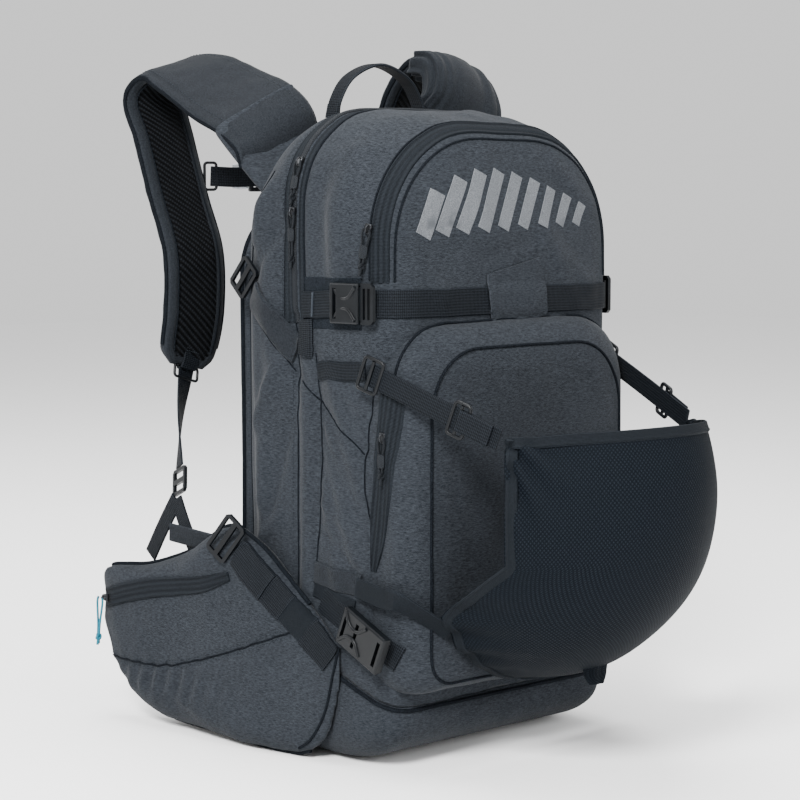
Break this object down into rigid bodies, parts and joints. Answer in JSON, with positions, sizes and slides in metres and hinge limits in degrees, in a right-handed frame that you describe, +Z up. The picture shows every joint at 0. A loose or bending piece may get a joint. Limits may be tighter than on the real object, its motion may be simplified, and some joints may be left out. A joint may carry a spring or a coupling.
{
  "type": "ski backpack",
  "caption": "Ski touring backpack with padded hip belt, shoulder straps, zipped compartments, compression straps with side-release buckles and a front helmet net.",
  "frame": {"origin": "middle of the flat base that the pack stands on", "axes": "+Z up the pack, +X to the right seen from the front, -Y out of the front (net) side, +Y towards the wearer's back"},
  "size_m": [0.411, 0.6136, 0.6546],
  "materials": {
    "heather_fabric": "matte heather melange",
    "dark_fabric": "matte",
    "padded_mesh": "3-D mesh",
    "webbing": "ribbed",
    "buckle_plastic": "satin moulded",
    "net_fabric": "fine mesh",
    "foam": "closed-cell foam",
    "cord": "braided",
    "slider_metal": "black lacquer",
    "zip_tape": "twill tape",
    "reflective_print": "printed reflective film",
    "accent_cord": "braided",
    "pale_plastic": "translucent",
    "lining": "brushed"
  },
  "bodies": {
    "pack": {"base_panel": "heather_fabric", "rear_shell": "heather_fabric", "back_panel": "padded_mesh", "back_protector": "foam", "hydration_sleeve": "dark_fabric", "shoulder_strap_left": "padded_mesh", "shoulder_strap_right": "padded_mesh", "strap_cover_right": "dark_fabric", "strap_webbing_left": "webbing", "strap_webbing_right": "webbing", "strap_adjuster_left": "buckle_plastic", "strap_adjuster_right": "buckle_plastic", "side_strap_left": "webbing", "side_strap_right": "webbing", "side_buckle_left": "buckle_plastic", "side_buckle_right": "buckle_plastic", "hip_fin_left": "heather_fabric", "hip_fin_right": "heather_fabric", "hip_strap_left": "webbing", "hip_strap_right": "webbing", "hip_triglide_left": "buckle_plastic", "hip_triglide_right": "buckle_plastic"},
    "front_panel": {"front_compartment": "heather_fabric", "front_pocket": "heather_fabric", "upper_strap": "webbing", "upper_buckle_female_left": "buckle_plastic", "upper_buckle_female_right": "buckle_plastic", "lower_strap_left": "webbing", "lower_strap_right": "webbing", "lower_buckle_left": "buckle_plastic", "lower_buckle_right": "buckle_plastic"},
    "upper_buckle_left": {"upper_buckle_male_left": "buckle_plastic"},
    "upper_buckle_right": {"upper_buckle_male_right": "buckle_plastic"},
    "helmet_net": {"helmet_net": "net_fabric", "net_strap_left": "webbing", "net_strap_right": "webbing"},
    "haul_loop": {"haul_loop": "webbing"},
    "sternum_strap": {"sternum_strap_left": "webbing", "sternum_strap_right": "webbing", "sternum_buckle_female": "buckle_plastic"},
    "sternum_buckle": {"sternum_buckle_male": "buckle_plastic"},
    "hip_wing_left": {"hip_wing_left": "heather_fabric", "stay_strap_left": "webbing", "belt_webbing_left": "webbing", "belt_buckle_female": "buckle_plastic"},
    "hip_wing_right": {"hip_wing_right": "heather_fabric", "stay_strap_right": "webbing", "belt_webbing_right": "webbing", "belt_buckle_male": "buckle_plastic"},
    "hip_zip_left": {"hip_zip_slider_left": "slider_metal"},
    "hip_zip_right": {"hip_zip_slider_right": "slider_metal"},
    "main_zip_lower_slider": {"main_zip_lower_slider": "slider_metal"},
    "main_zip_lower_pull": {"main_zip_lower_pull": "cord"},
    "main_zip_upper_slider": {"main_zip_upper_slider": "slider_metal"},
    "main_zip_upper_pull": {"main_zip_upper_pull": "cord"},
    "front_zip_slider": {"front_zip_slider": "slider_metal"},
    "front_zip_pull": {"front_zip_pull": "cord"},
    "pocket_zip_slider": {"pocket_zip_slider": "slider_metal"},
    "pocket_zip_pull": {"pocket_zip_pull": "cord"}
  },
  "joints": [
    {"name": "front_panel_open", "type": "hinge", "parent": "pack", "child": "front_panel", "pos_m": [0, -0.119, 0.0565], "axis": [1, 0, 0], "range_deg": [0, 45]},
    {"name": "helmet_net_open", "type": "hinge", "parent": "front_panel", "child": "helmet_net", "pos_m": [0, -0.153, 0.085], "axis": [1, 0, 0], "range_deg": [0, 50]},
    {"name": "upper_buckle_left_slide", "type": "slide", "parent": "front_panel", "child": "upper_buckle_left", "axis": [0.0995, -0.995, 0], "range_m": [0, 0.022]},
    {"name": "upper_buckle_right_slide", "type": "slide", "parent": "front_panel", "child": "upper_buckle_right", "axis": [-0.0995, -0.995, 0], "range_m": [0, 0.022]},
    {"name": "haul_loop_fold", "type": "hinge", "parent": "pack", "child": "haul_loop", "pos_m": [0, 0.06, 0.584], "axis": [1, 0, 0], "range_deg": [0, 50], "stiffness_Nm_per_rad": 0.01},
    {"name": "sternum_height", "type": "slide", "parent": "pack", "child": "sternum_strap", "axis": [0, 0.1, 0.995], "range_m": [-0.02, 0.02]},
    {"name": "sternum_buckle_slide", "type": "slide", "parent": "sternum_strap", "child": "sternum_buckle", "axis": [0.9024, -0.431, 0], "range_m": [0, 0.022]},
    {"name": "hip_wing_left_swing", "type": "hinge", "parent": "pack", "child": "hip_wing_left", "pos_m": [-0.148, 0.096, 0.1], "axis": [0, 0, -1], "range_deg": [-40, 15]},
    {"name": "hip_wing_right_swing", "type": "hinge", "parent": "pack", "child": "hip_wing_right", "pos_m": [0.148, 0.096, 0.1], "axis": [0, 0, 1], "range_deg": [-40, 15]},
    {"name": "hip_zip_left_slide", "type": "slide", "parent": "hip_wing_left", "child": "hip_zip_left", "axis": [0, -1, 0], "range_m": [0, 0.05]},
    {"name": "hip_zip_right_slide", "type": "slide", "parent": "hip_wing_right", "child": "hip_zip_right", "axis": [0, -1, 0], "range_m": [0, 0.05]},
    {"name": "main_zip_lower_slide", "type": "slide", "parent": "pack", "child": "main_zip_lower_slider", "axis": [0, 0, -1], "range_m": [0, 0.16]},
    {"name": "main_zip_lower_pull_swing", "type": "hinge", "parent": "main_zip_lower_slider", "child": "main_zip_lower_pull", "pos_m": [-0.1524, 0.0042, 0.495], "axis": [0, 1, 0], "range_deg": [0, 80]},
    {"name": "main_zip_upper_slide", "type": "hinge", "parent": "pack", "child": "main_zip_upper_slider", "pos_m": [-0.06042, 0.0042, 0.50242], "axis": [0, 1, 0], "range_deg": [0, 60]},
    {"name": "main_zip_upper_pull_swing", "type": "hinge", "parent": "main_zip_upper_slider", "child": "main_zip_upper_pull", "pos_m": [-0.14378, 0.0042, 0.54129], "axis": [0, 1, 0], "range_deg": [0, 75]},
    {"name": "front_zip_slide", "type": "slide", "parent": "front_panel", "child": "front_zip_slider", "axis": [0, -0.2291, 0.9734], "range_m": [0, 0.035]},
    {"name": "front_zip_pull_swing", "type": "hinge", "parent": "front_zip_slider", "child": "front_zip_pull", "pos_m": [-0.14924, -0.09565, 0.48085], "axis": [-0.176, 0.9582, 0.2255], "range_deg": [0, 75]},
    {"name": "pocket_zip_slide", "type": "slide", "parent": "front_panel", "child": "pocket_zip_slider", "axis": [0, 0, -1], "range_m": [0, 0.07]},
    {"name": "pocket_zip_pull_swing", "type": "hinge", "parent": "pocket_zip_slider", "child": "pocket_zip_pull", "pos_m": [-0.1474, -0.112, 0.3], "axis": [0, 1, 0], "range_deg": [0, 75]}
  ]
}
